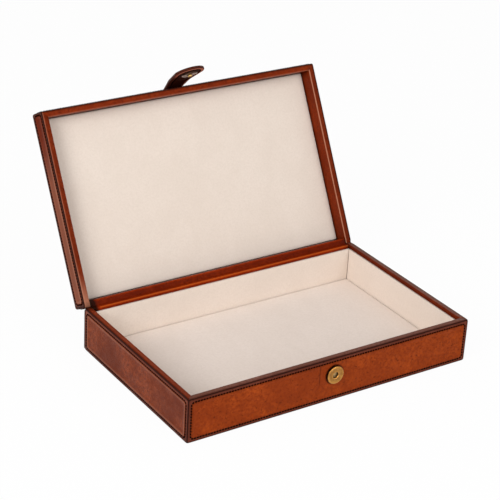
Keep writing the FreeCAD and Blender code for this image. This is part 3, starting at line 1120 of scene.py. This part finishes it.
def lining_painted_light(s, side, inset):
    """Painted light on the tab's lining: painted shade about the stud and at the root, and painted bounced
    light that makes it pale towards the tip.
    """
    if inset >= TAB_STITCH:
        return STUD_SHADE
    root = LEFT_ROOT_SHADE if side < 0 else RIGHT_ROOT_SHADE
    return 0.85 * smooth((root - s) / (9 * MM)) - 0.35 * smooth((s - root) / (6 * MM))


def tab_layer(name, shown, hidden, material):
    """One leather of the tab, between two radii: closed, with its shown face's edges round."""
    out = 1 if shown > hidden else -1
    points, burnish = [], []
    for depth in TAB_DEPTHS:
        for s, x, inset, side in tab_spots(depth):
            fall = round_drop(inset, *TAB_EDGE)
            fall += TAB_GROOVE * max(0.0, 1 - abs(inset - TAB_STITCH) / TAB_GROOVE_HALF)
            points.append(tab_point(s, x, shown - out * fall))
            edge = min(1.0, 1.4 - inset / (0.4 * MM))
            burnish.append(max(edge, TAB_BURNISH if out > 0 else lining_painted_light(s, side, inset)))
    for depth in (0.0, inf):
        for s, x, _, _ in tab_spots(depth):
            points.append(tab_point(s, x, hidden))
            burnish.append(HIDDEN_BURNISH)
    levels = len(TAB_DEPTHS)
    order = [*reversed(range(levels)), levels, levels + 1]
    faces = bands(order, len(points) // len(order))
    return new_piece(name, points, faces, material, burnish)


def along_line(line, distance):
    """Place and direction at a distance along a line of points."""
    for (s0, x0), (s1, x1) in zip(line, line[1:]):
        length = hypot(s1 - s0, x1 - x0)
        if distance <= length:
            break
        distance -= length
    ds, dx = (s1 - s0) / length, (x1 - x0) / length
    return s0 + ds * distance, x0 + dx * distance, ds, dx


def tab_stitches():
    """Stitches round the tab's outline: on its outer face, and on its lining beyond the lid's edge."""
    line = [spot[:2] for spot in tab_spots(TAB_STITCH)]
    line.append(line[0])
    total = sum(dist(a, b) for a, b in zip(line, line[1:]))
    count = round(total / STITCH_PITCH)
    points, faces = [], []
    for face, sign in ((TAB_OUTER, 1), (TAB_INNER, -1)):
        radius = face - sign * TAB_GROOVE
        for k in range(count):
            s, x, ds, dx = along_line(line, total * (k + 0.5) / count)
            if sign < 0 and s < TAB_ARC / 2:
                continue
            place = tab_point(s, x, radius)
            along = tab_point(s + ds * TAB_GROOVE, x + dx * TAB_GROOVE, radius) - place
            out = tab_point(s, x, face) - place
            add_stitch(points, faces, place, along.normalized(), out.normalized())
    return new_piece("tab_stitches", points, faces, THREAD)


def tab():
    """The tab's two leathers and their stitches, bent between the lid and the tab."""
    start = tab_point(0.0, 0.0, TAB_SEAM)
    end = tab_point(TAB_ARC, 0.0, TAB_SEAM)
    outer = tab_layer("tab_outer", TAB_OUTER, TAB_SEAM, TAB)
    inner = tab_layer("tab_inner", TAB_INNER, TAB_SEAM, TAB_LINING)
    for made in (outer, inner, tab_stitches()):
        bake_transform(made)
    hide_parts("tab_outer_anchor", "tab_outer_fold", "tab_outer_leather")
    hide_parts("tab_lining_anchor", "tab_lining_fold", "tab_lining")


tab()


def carried_nodes():
    """Finishes of the CAD nodes that show as they are, or lie inside the case."""
    finishes = {"board": SHADOW_BOARD, "card": CARD, "magnet": MAGNET, "rivet": OLD_BRASS, "washer": STEEL}
    for name, node in nodes.items():
        if node.hide_render:
            continue
        material = next(finishes[word] for word in finishes if name.endswith(word))
        node.data.materials.clear()
        node.data.materials.append(material)


carried_nodes()

# Camera, light and stage
CAMERA_PLACE = Vector((-0.7805, -1.0860, 0.7603))
CAMERA_AZIMUTH, CAMERA_HEIGHT, CAMERA_ROLL = -34.51, 26.14, 3.28
CAMERA_LENS = 121.4
LAMP_TARGET = Vector((0, 0, 0.08))
ROOM_LIGHT = 0.45
WHITE_SHARE = 0.96
FLOOR_HALF = 6.0
FLOOR_LEVEL = -0.2 * MM


def camera():
    """Camera at the photograph's angle, fitted to the case's corners."""
    data = bpy.data.cameras.new("camera")
    data.lens = CAMERA_LENS
    made = link("camera", data)
    placed = Matrix.Translation(CAMERA_PLACE)
    for degrees, axis in ((CAMERA_AZIMUTH, "Z"), (90 - CAMERA_HEIGHT, "X"), (CAMERA_ROLL, "Z")):
        placed = placed @ Matrix.Rotation(radians(degrees), 4, axis)
    made.matrix_world = placed
    bpy.context.scene.camera = made


def lamp(name, place, size, power):
    """Soft square lamp, aimed at the case."""
    data = bpy.data.lights.new(name, "AREA")
    data.shape = "SQUARE"
    data.size = size
    data.energy = power
    made = link(name, data)
    made.location = place
    made.rotation_euler = (LAMP_TARGET - Vector(place)).to_track_quat("-Z", "Y").to_euler()


def floor_material():
    """White paper that shows the case's shadow, mostly white itself where it is seen."""
    shader = Shader("pale_floor")
    fibre = shader.noise(300, detail=3)
    shader.set(Base_Color=shader.mix(fibre, (0.9, 0.9, 0.9), (0.92, 0.92, 0.92)))
    shader.set(Roughness=0.9, Specular_IOR_Level=0.0)
    white = shader.span(shader.seen_directly(), 0.0, 1.0, 0.0, WHITE_SHARE)
    glow = shader.add("ShaderNodeEmission", "Emission", {})
    inputs = {"Fac": white, 1: shader.principled.outputs["BSDF"], 2: glow}
    both = shader.add("ShaderNodeMixShader", "Shader", inputs)
    shader.put(shader.nodes["Material Output"].inputs["Surface"], both)
    return shader.material


def floor():
    """Pale floor under the case."""
    corners = [(-1, -1), (1, -1), (1, 1), (-1, 1)]
    mesh = bpy.data.meshes.new("floor")
    mesh.from_pydata([(x * FLOOR_HALF, y * FLOOR_HALF, FLOOR_LEVEL) for x, y in corners], [], [(0, 1, 2, 3)])
    mesh.materials.append(floor_material())
    link("floor", mesh)


def surroundings():
    """White room that is dimmer for the light on the object than where it is seen."""
    world = bpy.data.worlds.new("studio")
    bpy.context.scene.world = world
    tree = Tree(world)
    back = tree.nodes["Background"]
    tree.put(back.inputs["Color"], (1.0, 1.0, 1.0))
    tree.put(back.inputs["Strength"], tree.span(tree.seen_directly(), 0.0, 1.0, ROOM_LIGHT, 1.0))


camera()
floor()
surroundings()
lamp("key_lamp", place=(-1.77, -0.74, 1.20), size=1.0, power=28)
lamp("fill_lamp", place=(0.35, -1.98, 1.19), size=1.5, power=18.5)
bpy.context.scene.view_settings.view_transform = "Standard"
